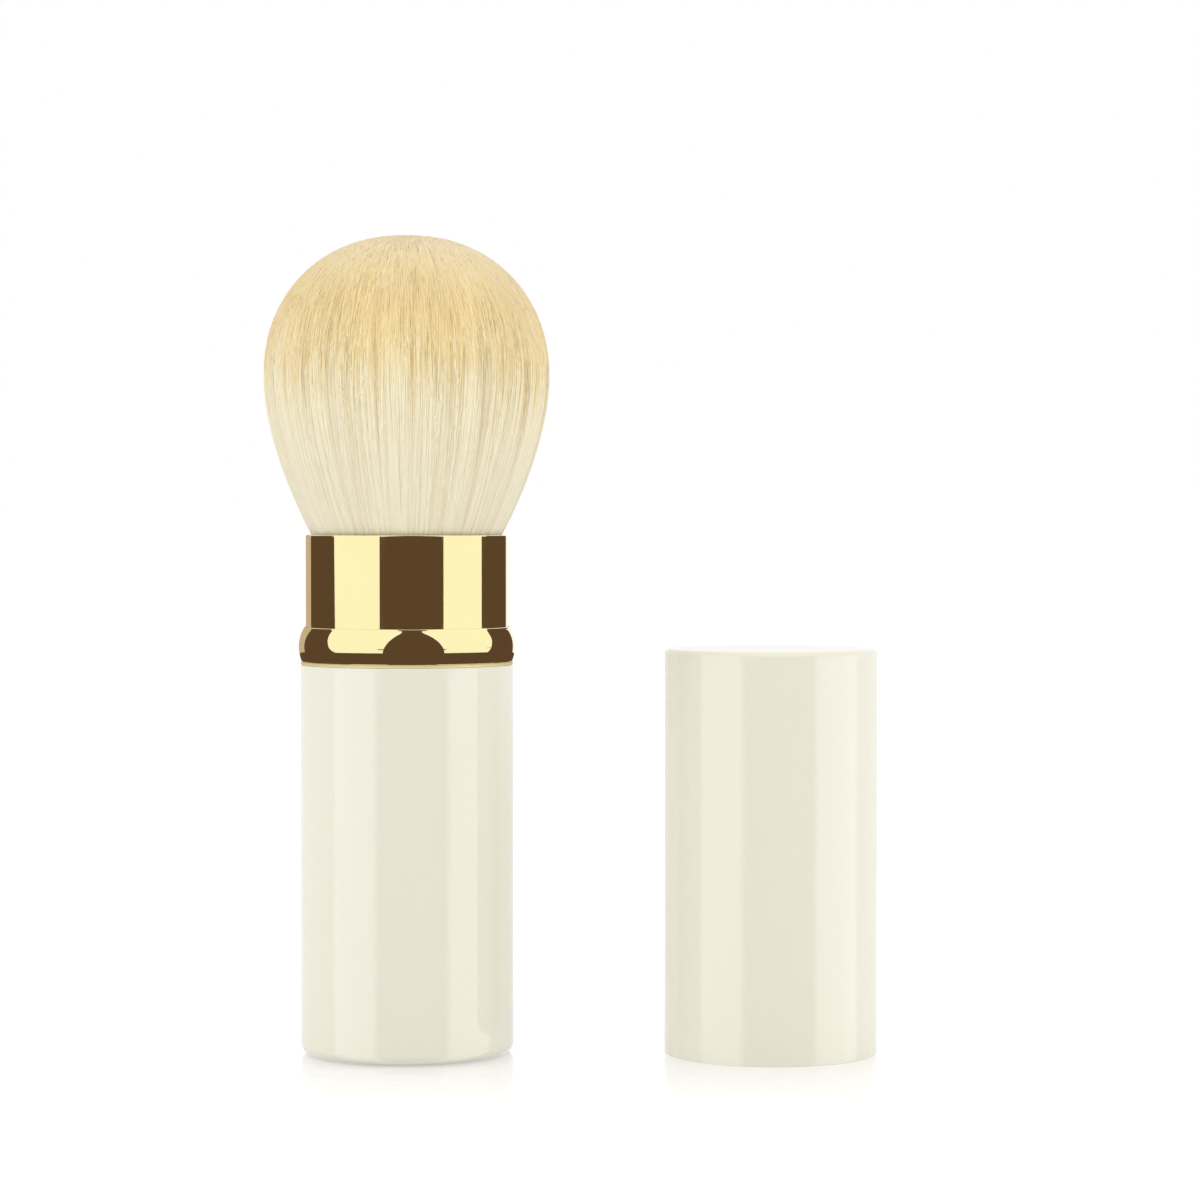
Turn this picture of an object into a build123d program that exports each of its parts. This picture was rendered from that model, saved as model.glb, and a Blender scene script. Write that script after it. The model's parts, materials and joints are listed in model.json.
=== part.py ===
from build123d import *

import os
from math import atan2, floor, pi, sqrt

# Retractable powder brush with its cap taken off and stood beside it.
# The brush stands on its base with its axis on +Z and its bottom face at Z 0. A post in the handle
# carries the hair head. A gold sleeve slides up along that post until it covers the hair, and the cap
# then goes over the sleeve. At rest the sleeve is down, the hair is fanned out, and the cap stands mouth
# down at +X.

# Shells of the handle and the cap: drawn cups with a lacquered outside
body_diameter = 32.0
shell_wall = 0.4
base_height = 58.4
base_floor = 0.8
base_edge_radius = 1.5
cap_height = 60.8
cap_roof = 0.4
cap_edge_radius = 0.7
cap_distance = 54.8  # from the brush's axis to the cap's
mouth_chamfer = 0.12
glue_gap = 0.05  # film of glue between a piece and the seat that it is fixed in

# Liner of the handle
liner_wall = 0.25

# Collar: a bush on the handle's rim, a bulged ring pressed over it, a wiper inside
lip_height = 0.5
lip_inset = 0.05  # how far the lip lies inside the shell's outside
skirt_depth = 6.0
upstand_wall = 0.2
upstand_height = 1.6
wiper_height = 1.8
wiper_clearance = 0.05  # radial, on the sleeve
ring_height = 5.2
ring_bulge = 0.27  # how far the ring stands out past the shell
ring_foot_inset = 0.2
ring_top_inset = 0.5
bulge_height_share = 0.44  # of the ring's height, where it is widest

# Sleeve: a tube that slides through the collar
sleeve_clearance = 0.1  # radial, in the liner and the collar
sleeve_wall = 0.5
sleeve_show = 13.8  # what stands above the collar when the sleeve is down
sleeve_rim_radius = 0.2

# Slider ring and its o-ring, in the sleeve's lower end
slider_height = 8.0
slider_wall = 2.05
slider_chamfer = 0.3
slider_clearance = 0.1  # radial, on the post
o_ring_section = 1.2
o_ring_clearance = 0.05
detent_depth = 0.15

# Foot of the post, the weight on it and the two bumpers
foot_thickness = 2.0
weight_height = 3.2
weight_clearance = 0.1
bumper_thickness = 0.7
bumper_gap = 0.3  # left between a bumper and the slider ring that it stops
bumper_inset = 0.2

# Post
post_wall = 1.2
post_roof = 2.4
boss_radius = 3.4
boss_depth = 8.0

# Ferrule and its screw
ferrule_clearance = 0.4  # radial, in the sleeve
ferrule_wall = 0.4
ferrule_floor = 0.6
ferrule_edge_radius = 0.4
ferrule_rim_depth = 1.5  # how far its rim lies below the lowered sleeve's
screw_head_radius = 2.8
screw_head_height = 1.9
screw_shank_radius = 1.4
screw_length = 7.0
screw_hole_clearance = 0.2
recess_length = 3.2
recess_width = 0.7
recess_depth = 1.0
screw_point_share = 0.3  # of the shank's length is its point
resin_depth_share = 0.45  # of the ferrule's depth is resin

# Hair head: strands in rings round a middle strand
hair_diameter = 43.0
hair_show = 45.0  # from the lowered sleeve's rim to the tips
belly_height = 23.5  # from that rim up to the widest point
root_clearance = 0.2
slice_thickness = 1.0
strand_rings = 11
strand_gap = 0.06  # between two strands of a ring, at their roots
strand_fill_share = 0.85  # a strand's width over the distance between rings
strand_tip_share = 0.45  # its width at the tip over its width below it
strand_taper_share = 0.35  # of the length above the widest point tapers
strand_root_share = 0.5  # of the slice's thickness holds the strand's end
flare_spans = 3
flare_power = 1.7
golden_angle = 137.5

# Last rings of the three inner groups; the groups that the sleeve squeezes start after the second
centre_last_ring = 4
inner_last_ring = 7
middle_last_ring = 9

# Cap's liner and grip ring
cap_liner_roof = 0.35
grip_ring_inset = 1.0  # from the cap's mouth
grip_ring_height = 6.0
grip_rib_clearance = 0.02  # radial, on the sleeve
grip_rib_width = 1.2
grip_rib_count = 6

# Radii, from the shells inwards
body_radius = body_diameter / 2
shell_bore = body_radius - shell_wall
seat_radius = shell_bore - glue_gap
liner_bore = seat_radius - liner_wall
sleeve_radius = liner_bore - sleeve_clearance
sleeve_bore = sleeve_radius - sleeve_wall
slider_radius = sleeve_bore - glue_gap
slider_bore = slider_radius - slider_wall
post_radius = slider_bore - slider_clearance
post_bore = post_radius - post_wall
ferrule_radius = sleeve_bore - ferrule_clearance
ferrule_bore = ferrule_radius - ferrule_wall
upstand_radius = liner_bore + upstand_wall
wiper_bore = sleeve_radius + wiper_clearance
weight_bore = post_radius + weight_clearance
o_ring_middle = post_radius + o_ring_clearance + o_ring_section / 2
base_inner_edge = base_edge_radius - shell_wall
cap_inner_edge = cap_edge_radius - shell_wall

# Heights, from the floor upwards
foot_top = base_floor + foot_thickness
weight_top = foot_top + weight_height
sleeve_bottom = weight_top + bumper_thickness + bumper_gap
slider_top = sleeve_bottom + slider_height
detent_height = sleeve_bottom + slider_height / 2
sleeve_travel = hair_show
ferrule_bottom = slider_top + sleeve_travel + bumper_gap + bumper_thickness
skirt_bottom = base_height - skirt_depth
ring_bottom = base_height + lip_height
upstand_top = ring_bottom + upstand_height
wiper_top = upstand_top + wiper_height
ring_top = ring_bottom + ring_height
sleeve_top = ring_top + sleeve_show
ferrule_top = sleeve_top - ferrule_rim_depth
resin_bottom = ferrule_bottom + ferrule_floor
resin_top = resin_bottom + (ferrule_top - resin_bottom) * resin_depth_share
slice_top = resin_top + slice_thickness
belly_top = sleeve_top + belly_height
hair_top = sleeve_top + hair_show
post_ceiling = ferrule_bottom - post_roof
boss_bottom = post_ceiling - boss_depth
grip_ring_top = grip_ring_inset + grip_ring_height
cap_liner_top = cap_height - cap_roof - glue_gap

cap_plane = Plane(origin=(cap_distance, 0, 0))

# Handle's shell
with BuildPart() as base_shell:
    with BuildSketch():
        Circle(body_radius)
    extrude(amount=base_height)
    fillet(base_shell.faces().sort_by(Axis.Z)[0].edges(), base_edge_radius)
    with BuildSketch(Plane.XY.offset(base_floor)):
        Circle(shell_bore)
    extrude(amount=base_height - base_floor, mode=Mode.SUBTRACT)
    inner_floor = base_shell.faces().filter_by(Plane.XY).sort_by(Axis.Z)[1]
    fillet(inner_floor.edges(), base_inner_edge)

# Post on its foot, hollow, with a screw boss under its roof and a groove for the o-ring at each stop
with BuildPart() as core_post:
    with BuildSketch(Plane.XY.offset(base_floor)):
        Circle(seat_radius)
    extrude(amount=foot_thickness)
    chamfer(core_post.faces().sort_by(Axis.Z)[0].edges(), base_inner_edge)
    with BuildSketch(Plane.XY.offset(foot_top)):
        Circle(post_radius)
    extrude(amount=ferrule_bottom - foot_top)
    with BuildSketch(Plane.XY.offset(base_floor)):
        Circle(post_bore)
    extrude(amount=post_ceiling - base_floor, mode=Mode.SUBTRACT)
    with BuildSketch(Plane.XY.offset(boss_bottom)):
        Circle(boss_radius)
    extrude(amount=boss_depth)
    with BuildSketch(Plane.XY.offset(boss_bottom)):
        Circle(screw_shank_radius + glue_gap)
    extrude(amount=boss_depth + post_roof, mode=Mode.SUBTRACT)
    detent_middle = post_radius + o_ring_section / 2 - detent_depth
    for height in (detent_height, detent_height + sleeve_travel):
        with BuildSketch(Plane.XZ):
            with Locations((detent_middle, height)):
                Circle(o_ring_section / 2)
        revolve(axis=Axis.Z, mode=Mode.SUBTRACT)

# Steel weight round the post's foot
with BuildPart() as balance_weight:
    with BuildSketch(Plane.XY.offset(foot_top)):
        Circle(seat_radius)
        Circle(weight_bore, mode=Mode.SUBTRACT)
    extrude(amount=weight_height)

# Bumpers: one on the weight, one under the ferrule
with BuildPart() as lower_bumper:
    with BuildSketch(Plane.XY.offset(weight_top)):
        Circle(liner_bore - glue_gap)
        Circle(weight_bore, mode=Mode.SUBTRACT)
    extrude(amount=bumper_thickness)

with BuildPart() as upper_bumper:
    with BuildSketch(Plane.XY.offset(ferrule_bottom - bumper_thickness)):
        Circle(ferrule_radius - bumper_inset)
        Circle(post_radius + glue_gap, mode=Mode.SUBTRACT)
    extrude(amount=bumper_thickness)

# Liner that guides the sleeve, from the weight up to the bush
with BuildPart() as guide_liner:
    with BuildSketch(Plane.XY.offset(weight_top)):
        Circle(seat_radius)
        Circle(liner_bore, mode=Mode.SUBTRACT)
    extrude(amount=skirt_bottom - glue_gap - weight_top)

# Bush: skirt in the shell, lip on its rim, upstand in the ring
with BuildPart() as collar_insert:
    with BuildSketch(Plane.XZ):
        lip_radius = body_radius - lip_inset
        with BuildLine():
            Polyline(
                (liner_bore, skirt_bottom),
                (seat_radius, skirt_bottom),
                (seat_radius, base_height),
                (lip_radius, base_height),
                (lip_radius, ring_bottom),
                (upstand_radius, ring_bottom),
                (upstand_radius, upstand_top),
                (liner_bore, upstand_top),
                close=True,
            )
        make_face()
    revolve(axis=Axis.Z)

# Felt wiper on the bush, under the ring's shoulder
with BuildPart() as collar_wiper:
    with BuildSketch(Plane.XY.offset(upstand_top)):
        Circle(upstand_radius)
        Circle(wiper_bore, mode=Mode.SUBTRACT)
    extrude(amount=wiper_height)

# Bulged ring
with BuildPart() as collar_ring:
    with BuildSketch(Plane.XZ):
        with BuildLine():
            foot = (body_radius - ring_foot_inset, ring_bottom)
            belly = (body_radius + ring_bulge, ring_bottom + ring_height * bulge_height_share)
            shoulder = (body_radius - ring_top_inset, ring_top)
            pocket = upstand_radius + glue_gap
            ThreePointArc(foot, belly, shoulder)
            Polyline(
                shoulder,
                (liner_bore, ring_top),
                (liner_bore, wiper_top),
                (pocket, wiper_top),
                (pocket, ring_bottom),
                foot,
            )
        make_face()
    revolve(axis=Axis.Z)

# Sleeve
with BuildPart() as sleeve_tube:
    with BuildSketch(Plane.XY.offset(sleeve_bottom)):
        Circle(sleeve_radius)
        Circle(sleeve_bore, mode=Mode.SUBTRACT)
    extrude(amount=sleeve_top - sleeve_bottom)
    fillet(sleeve_tube.faces().sort_by(Axis.Z)[-1].edges(), sleeve_rim_radius)

# Slider ring, with the o-ring's groove in its bore
with BuildPart() as slider_ring:
    with BuildSketch(Plane.XY.offset(sleeve_bottom)):
        Circle(slider_radius)
        Circle(slider_bore, mode=Mode.SUBTRACT)
    extrude(amount=slider_height)
    bore_edges = slider_ring.edges().filter_by(GeomType.CIRCLE).sort_by(SortBy.RADIUS)[:2]
    chamfer(bore_edges, slider_chamfer)
    groove_height = o_ring_section / 2 + glue_gap
    with BuildSketch(Plane.XY.offset(detent_height)):
        Circle(o_ring_middle + groove_height)
    extrude(amount=groove_height, both=True, mode=Mode.SUBTRACT)

with BuildPart() as slider_o_ring:
    with BuildSketch(Plane.XZ):
        with Locations((o_ring_middle, detent_height)):
            Circle(o_ring_section / 2)
    revolve(axis=Axis.Z)

# Ferrule
with BuildPart() as ferrule_cup:
    with BuildSketch(Plane.XY.offset(ferrule_bottom)):
        Circle(ferrule_radius)
    extrude(amount=ferrule_top - ferrule_bottom)
    fillet(ferrule_cup.faces().sort_by(Axis.Z)[0].edges(), ferrule_edge_radius)
    with BuildSketch(Plane.XY.offset(resin_bottom)):
        Circle(ferrule_bore)
    extrude(amount=ferrule_top - resin_bottom, mode=Mode.SUBTRACT)
    with BuildSketch(Plane.XY.offset(ferrule_bottom)):
        Circle(screw_shank_radius + screw_hole_clearance)
    extrude(amount=ferrule_floor, mode=Mode.SUBTRACT)

# Screw: head on the ferrule's floor, shank down in the post's boss
with BuildPart() as ferrule_screw:
    point_height = screw_length * screw_point_share
    point_top = resin_bottom - screw_length + point_height
    with BuildSketch(Plane.XY.offset(resin_bottom)):
        Circle(screw_head_radius)
    extrude(amount=screw_head_height)
    fillet(ferrule_screw.faces().sort_by(Axis.Z)[-1].edges(), screw_head_height / 2)
    with BuildSketch(Plane.XY.offset(point_top)):
        Circle(screw_shank_radius)
    extrude(amount=resin_bottom - point_top)
    with BuildSketch(Plane.XY.offset(point_top)):
        Circle(screw_shank_radius)
    with BuildSketch(Plane.XY.offset(point_top - point_height)):
        Circle(screw_shank_radius * screw_point_share)
    loft()
    with BuildSketch(Plane.XY.offset(resin_bottom + screw_head_height)):
        Rectangle(recess_length, recess_width)
        Rectangle(recess_width, recess_length)
    extrude(amount=-recess_depth, mode=Mode.SUBTRACT)

# Resin that the hair's roots are set in, cast round the screw's head
with BuildPart() as hair_plug:
    with BuildSketch(Plane.XY.offset(resin_bottom)):
        Circle(ferrule_bore - glue_gap)
    extrude(amount=resin_top - resin_bottom)
    with BuildSketch(Plane.XY.offset(resin_bottom)):
        Circle(screw_head_radius + glue_gap)
    extrude(amount=screw_head_height + glue_gap, mode=Mode.SUBTRACT)

# At any height every strand stands off the axis by one common scale, so none crosses another
ring_pitch = (ferrule_bore - root_clearance) / (strand_rings + 1 / 2)
strand_width = ring_pitch * strand_fill_share
belly_scale = hair_diameter / 2 / (ring_pitch * strand_rings + strand_width / 2)


def strand_count(ring):
    """As many strands as go round a ring with their inner corners apart."""
    half = (strand_width + strand_gap) / 2
    return floor(pi / atan2(half, ring_pitch * ring - half))


def strand_levels(ring):
    """A strand's sections from root to tip, each as its height, scale off the axis and width."""
    flare = []
    for span in range(flare_spans + 1):
        share = span / flare_spans
        scale = 1 + (belly_scale - 1) * (1 - (1 - share) ** flare_power)
        flare.append((ferrule_top + (belly_top - ferrule_top) * share, scale, strand_width * scale))
    reach = ring_pitch * ring * belly_scale / (hair_diameter / 2)
    rise = (hair_top - belly_top) * sqrt(1 - reach**2)
    wide = strand_width * belly_scale
    root = (slice_top - slice_thickness * strand_root_share, 1, strand_width)
    taper = (belly_top + rise * (1 - strand_taper_share), belly_scale, wide)
    tip = (belly_top + rise, belly_scale, wide * strand_tip_share)
    return [root, *flare, taper, tip]


def strand(ring):
    """One four-sided strand of a ring, on the +X side."""
    with BuildPart() as one:
        for height, scale, width in strand_levels(ring):
            with BuildSketch(Plane.XY.offset(height)):
                with Locations((ring_pitch * ring * scale, 0)):
                    Rectangle(width, width)
        loft(ruled=True)
    return one.part


def strand_group(first_ring, last_ring):
    """The strands of some rings, fused to their own slice of the backing."""
    strands = []
    for ring in range(first_ring, last_ring + 1):
        one = strand(ring)
        # The two innermost rings come out square to each other, so their corners stay apart
        turn = golden_angle * ring * (ring - 1)
        for place in PolarLocations(0, strand_count(ring), start_angle=turn):
            strands.append(place * one)
    with BuildPart() as group:
        with BuildSketch(Plane.XY.offset(resin_top)):
            Circle(ring_pitch * (last_ring + 1 / 2) - glue_gap / 2)
            if first_ring:
                Circle(ring_pitch * (first_ring - 1 / 2) + glue_gap / 2, mode=Mode.SUBTRACT)
        extrude(amount=slice_thickness)
        add(strands, clean=False)
    return group


bristles_centre = strand_group(0, centre_last_ring)
bristles_inner = strand_group(centre_last_ring + 1, inner_last_ring)
bristles_middle = strand_group(inner_last_ring + 1, middle_last_ring)
bristles_outer = strand_group(middle_last_ring + 1, strand_rings)

# Cap's shell, mouth down
with BuildPart() as cap_shell:
    with BuildSketch(cap_plane):
        Circle(body_radius)
    extrude(amount=cap_height)
    fillet(cap_shell.faces().sort_by(Axis.Z)[-1].edges(), cap_edge_radius)
    with BuildSketch(cap_plane):
        Circle(shell_bore)
    extrude(amount=cap_height - cap_roof, mode=Mode.SUBTRACT)
    chamfer(cap_shell.faces().sort_by(Axis.Z)[0].edges(), mouth_chamfer)
    ceiling = cap_shell.faces().filter_by(Plane.XY).sort_by(Axis.Z)[-2]
    fillet(ceiling.edges(), cap_inner_edge)

# Cap's liner, from the grip ring up
with BuildPart() as cap_liner:
    liner_bottom = grip_ring_top + glue_gap
    with BuildSketch(cap_plane.offset(liner_bottom)):
        Circle(seat_radius)
    extrude(amount=cap_liner_top - liner_bottom)
    fillet(cap_liner.faces().sort_by(Axis.Z)[-1].edges(), cap_inner_edge)
    with BuildSketch(cap_plane.offset(liner_bottom)):
        Circle(liner_bore)
    extrude(amount=cap_liner_top - cap_liner_roof - liner_bottom, mode=Mode.SUBTRACT)

# Ring in the cap's mouth, with ribs that grip the sleeve
with BuildPart() as cap_grip_ring:
    rib_tip = sleeve_radius + grip_rib_clearance
    rib_depth = (seat_radius + liner_bore) / 2 - rib_tip
    with BuildSketch(cap_plane.offset(grip_ring_inset)):
        Circle(seat_radius)
        Circle(liner_bore, mode=Mode.SUBTRACT)
        with PolarLocations(rib_tip + rib_depth / 2, grip_rib_count):
            Rectangle(rib_depth, grip_rib_width)
    extrude(amount=grip_ring_height)

pieces = {
    "base_shell": base_shell,
    "core_post": core_post,
    "balance_weight": balance_weight,
    "lower_bumper": lower_bumper,
    "upper_bumper": upper_bumper,
    "guide_liner": guide_liner,
    "collar_insert": collar_insert,
    "collar_wiper": collar_wiper,
    "collar_ring": collar_ring,
    "sleeve_tube": sleeve_tube,
    "slider_ring": slider_ring,
    "slider_o_ring": slider_o_ring,
    "ferrule_cup": ferrule_cup,
    "ferrule_screw": ferrule_screw,
    "hair_plug": hair_plug,
    "bristles_centre": bristles_centre,
    "bristles_inner": bristles_inner,
    "bristles_middle": bristles_middle,
    "bristles_outer": bristles_outer,
    "cap_shell": cap_shell,
    "cap_liner": cap_liner,
    "cap_grip_ring": cap_grip_ring,
}

os.makedirs("parts", exist_ok=True)
for name, piece in pieces.items():
    piece.part.label = name
    export_step(piece.part, f"parts/{name}.step")
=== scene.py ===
import json
from math import atan, atan2, cos, degrees, pi, radians, sin, sqrt

import bmesh
import bpy
import numpy as np
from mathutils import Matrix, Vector
from mathutils.kdtree import KDTree


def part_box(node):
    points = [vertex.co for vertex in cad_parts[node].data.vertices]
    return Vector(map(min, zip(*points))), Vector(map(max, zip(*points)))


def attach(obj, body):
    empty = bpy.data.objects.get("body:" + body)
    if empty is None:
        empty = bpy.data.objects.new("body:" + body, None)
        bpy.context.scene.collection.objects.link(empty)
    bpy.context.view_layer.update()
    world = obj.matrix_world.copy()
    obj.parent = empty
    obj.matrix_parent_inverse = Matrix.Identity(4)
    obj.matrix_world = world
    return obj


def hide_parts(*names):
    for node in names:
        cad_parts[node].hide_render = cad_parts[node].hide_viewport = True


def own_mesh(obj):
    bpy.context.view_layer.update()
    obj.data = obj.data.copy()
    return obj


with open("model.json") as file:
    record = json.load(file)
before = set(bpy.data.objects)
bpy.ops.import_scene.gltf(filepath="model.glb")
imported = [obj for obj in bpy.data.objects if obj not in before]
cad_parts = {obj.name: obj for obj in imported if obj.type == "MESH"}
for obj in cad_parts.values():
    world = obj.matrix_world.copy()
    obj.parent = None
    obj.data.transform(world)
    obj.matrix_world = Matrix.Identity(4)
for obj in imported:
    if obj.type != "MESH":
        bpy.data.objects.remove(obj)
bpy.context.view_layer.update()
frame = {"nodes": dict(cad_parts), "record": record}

MM = 0.001

# The photograph's frame and its view of the open brush
PHOTO_SIZE_PX = 1200
AXIS_X_PX = 407.0
BASE_Y_PX = 1052.2
HORIZON_Y_PX = 525.0
PX_PER_MM = 6.64
LENS_MM = 105.0
SENSOR_MM = 36.0

# Sizes that the frame's boxes don't give
SHELL_WALL = 0.4 * MM
SLEEVE_WALL = 0.5 * MM
SLEEVE_CLEARANCE = 0.1 * MM
RING_FOOT_INSET = 0.2 * MM
RING_TOP_INSET = 0.5 * MM
RING_TOP_EDGE = 0.18 * MM
LIP_EDGE = 0.2 * MM
RING_BELLY_SHARE = 0.44
UPSTAND_CLEARANCE = 0.05 * MM
BASE_EDGE = 1.5 * MM
CAP_EDGE = 0.7 * MM
RIM_EDGE = 0.2 * MM
SHARP_EDGE = 0.06 * MM

# How finely the turned shells are cut, and the angle in degrees from which an edge stays sharp
LATHE_STEPS = 256
ARC_STEPS = 10
SHARP_STEPS = 4
RING_STEPS = 40
RING_TOP_START = 30
SHARP_ANGLE = 35


def size_of(node):
    """A node's centre, outer radius, bottom and top, from its box."""
    low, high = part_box(node)
    middle = (low + high) / 2
    return Vector((middle.x, middle.y, 0)), (high.y - low.y) / 2, low.z, high.z


# Materials

def linear(r, g, b):
    """An sRGB colour out of 255 as a linear colour."""
    out = []
    for v in (r, g, b):
        v = v / 255
        out.append(v / 12.92 if v <= 0.04045 else ((v + 0.055) / 1.055) ** 2.4)
    return (*out, 1.0)


class Nodes:
    """A short way to write a node tree."""

    def __init__(self, name):
        self.material = bpy.data.materials.new(name)
        self.material.use_nodes = True
        self.clear(self.material.node_tree, "ShaderNodeOutputMaterial")

    @classmethod
    def of(cls, tree, output):
        """The same for a node tree that isn't a material's."""
        made = cls.__new__(cls)
        made.material = None
        made.clear(tree, output)
        return made

    def clear(self, tree, output):
        """Empties the tree down to an output node."""
        self.tree = tree
        self.tree.nodes.clear()
        self.output = self.tree.nodes.new(output)

    def add(self, kind, inputs=None, **values):
        """A node with its settings. An input, by name or number, is a value or another node's socket."""
        node = self.tree.nodes.new(kind)
        for key, value in values.items():
            setattr(node, key, value)
        for key, value in (inputs or {}).items():
            if isinstance(value, bpy.types.NodeSocket):
                self.tree.links.new(value, node.inputs[key])
            else:
                node.inputs[key].default_value = value
        return node

    def noise(self, scale, detail, stretch=(1, 1, 1)):
        """Noise over the object's own coordinates. Scale is in features per metre."""
        where = self.add("ShaderNodeTexCoord").outputs["Object"]
        spread = self.add("ShaderNodeMapping", {"Vector": where, "Scale": stretch})
        return self.add("ShaderNodeTexNoise", {"Vector": spread.outputs["Vector"], "Scale": scale,
                                               "Detail": detail}).outputs["Fac"]

    def between(self, factor, low, high):
        """A factor from 0 to 1 turned into a value from low to high."""
        ranged = self.add("ShaderNodeMapRange", {"Value": factor, "To Min": low, "To Max": high})
        return ranged.outputs["Result"]

    def maths(self, operation, *values):
        """The result of one step of arithmetic."""
        return self.add("ShaderNodeMath", dict(enumerate(values)), operation=operation).outputs[0]

    def blend(self, factor, first, second):
        """One shader turned into another by a factor from 0 to 1."""
        return self.add("ShaderNodeMixShader", {0: factor, 1: first, 2: second}).outputs[0]

    def mix(self, factor, first, second):
        """One colour turned into another by a factor from 0 to 1."""
        return self.add("ShaderNodeMix", {0: factor, 6: first, 7: second}, data_type="RGBA").outputs[2]

    def ramp(self, factor, stops):
        """A colour ramp. Each stop is a position from 0 to 1, a colour and an alpha."""
        ramp = self.add("ShaderNodeValToRGB", {"Fac": factor})
        elements = ramp.color_ramp.elements
        while len(elements) < len(stops):
            elements.new(0.5)
        for element, (position, colour, alpha) in zip(elements, stops):
            element.position = position
            element.color = (*colour[:3], alpha)
        return ramp

    def bump(self, height, distance):
        """The surface's direction with a relief in it."""
        return self.add("ShaderNodeBump", {"Height": height, "Distance": distance}).outputs["Normal"]

    def finish(self, shader):
        """Joins the shader to the output and gives the material."""
        self.tree.links.new(shader, self.output.inputs["Surface"])
        return self.material


FINE_DETAIL = 4.0
BROAD_DETAIL = 2.0
BROAD_GRAIN_SHARE = 1 / 12


def surface(name, low, high, rough, metallic=0.0, coat=0.0, grain=400.0, bump_mm=0.01, stretch=(1, 1, 1),
            specular=0.5, sheen=0.0):
    """A finish whose colour, roughness and relief vary over the surface."""
    n = Nodes(name)
    fine = n.noise(grain, FINE_DETAIL, stretch)
    broad = n.noise(grain * BROAD_GRAIN_SHARE, BROAD_DETAIL)
    colour = n.mix(broad, low, high)
    roughness = n.between(fine, *rough)
    normal = n.bump(fine, bump_mm * MM)
    shader = n.add("ShaderNodeBsdfPrincipled", {
        "Base Color": colour, "Roughness": roughness, "Metallic": metallic, "Normal": normal,
        "Specular IOR Level": specular, "Coat Weight": coat, "Coat Roughness": 0.0,
        "Sheen Weight": sheen,
    })
    return n.finish(shader.outputs["BSDF"])


GOLD_PALE = linear(255, 246, 190)
GOLD_DEEP = linear(252, 240, 178)
FINISHES = {
    "lacquer": surface("cream_lacquer", linear(229, 226, 210), linear(232, 229, 214), (0.22, 0.30), coat=1.0,
                       grain=120.0, bump_mm=0.002, specular=0.0),
    "gold": surface("polished_gold", GOLD_DEEP, GOLD_PALE, (0.015, 0.035), metallic=1.0, grain=1500.0,
                    bump_mm=0.0002),
    "steel": surface("plain_steel", linear(150, 150, 152), linear(172, 172, 174), (0.28, 0.42), metallic=1.0,
                     grain=1500.0, bump_mm=0.003, stretch=(1, 1, 12)),
    "rubber": surface("silicone", linear(38, 38, 39), linear(48, 48, 49), (0.55, 0.7), grain=900.0,
                      bump_mm=0.01),
    "white_plastic": surface("moulded_plastic", linear(226, 226, 220), linear(233, 233, 228), (0.38, 0.5),
                             grain=1200.0, bump_mm=0.004),
    "felt": surface("felt", linear(205, 197, 178), linear(224, 217, 200), (0.9, 1.0), grain=2600.0,
                    bump_mm=0.08, sheen=0.4),
    "ferrule": surface("satin_aluminium", linear(186, 186, 190), linear(204, 204, 207), (0.22, 0.34),
                       metallic=1.0, grain=1500.0, bump_mm=0.003, stretch=(1, 1, 12)),
    "resin": surface("cast_resin", linear(196, 176, 128), linear(210, 192, 146), (0.15, 0.25), grain=500.0,
                     bump_mm=0.01),
}

# Hair: ivory below, golden above, paler again towards the tips. Each stop is a height in mm, a colour and
# the strength of the darker streaks there
HAIR_STOPS = (
    (77.0, linear(249, 241, 214), 0.45),
    (90.0, linear(250, 242, 214), 0.48),
    (96.5, linear(253, 244, 213), 0.64),
    (100.5, linear(254, 242, 204), 0.92),
    (105.0, linear(252, 230, 176), 1.00),
    (109.0, linear(251, 226, 166), 0.80),
    (113.5, linear(248, 223, 166), 0.40),
    (118.0, linear(242, 222, 173), 0.14),
    (123.0, linear(241, 223, 182), 0.08),
)
STREAK = linear(194, 168, 112)
HAIR_GRAIN = 3000.0
HAIR_GRAIN_STRETCH = (1, 1, 0.05)
HAIR_BUMP = 0.01 * MM
HAIR_ROUGHNESS = (0.45, 0.62)


def hair_material():
    """Colour by height, shifted for each strand by its tone, with lighter and darker strands by its shade."""
    n = Nodes("soft_hair")
    where = n.add("ShaderNodeTexCoord").outputs["Object"]
    height = n.add("ShaderNodeSeparateXYZ", {"Vector": where}).outputs["Z"]
    tone = n.add("ShaderNodeAttribute", attribute_name="tone").outputs["Fac"]
    shifted = n.maths("MULTIPLY_ADD", tone, MM, height)
    low, high = HAIR_STOPS[0][0], HAIR_STOPS[-1][0]
    share = n.add("ShaderNodeMapRange", {"Value": shifted, "From Min": low * MM, "From Max": high * MM})
    stops = [((z - low) / (high - low), colour, streaks) for z, colour, streaks in HAIR_STOPS]
    ramp = n.ramp(share.outputs["Result"], stops)
    shade = n.add("ShaderNodeAttribute", attribute_name="shade").outputs["Fac"]
    strength = n.maths("MULTIPLY", shade, ramp.outputs["Alpha"])
    streaked = n.mix(strength, ramp.outputs["Color"], STREAK)
    fine = n.noise(HAIR_GRAIN, BROAD_DETAIL, HAIR_GRAIN_STRETCH)
    shader = n.add("ShaderNodeBsdfPrincipled", {
        "Base Color": streaked, "Roughness": n.between(fine, *HAIR_ROUGHNESS), "Specular IOR Level": 0.25,
        "Sheen Weight": 0.5, "Normal": n.bump(fine, HAIR_BUMP),
    })
    return n.finish(shader.outputs["BSDF"])


FINISHES["hair"] = hair_material()

# The insert is gold too, but satin, so its thin lip stays light beside the ring's dark edge
SATIN_GOLD = surface("satin_gold", GOLD_DEEP, GOLD_PALE, (0.48, 0.58), metallic=0.45, grain=1500.0,
                     bump_mm=0.0005)

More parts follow.
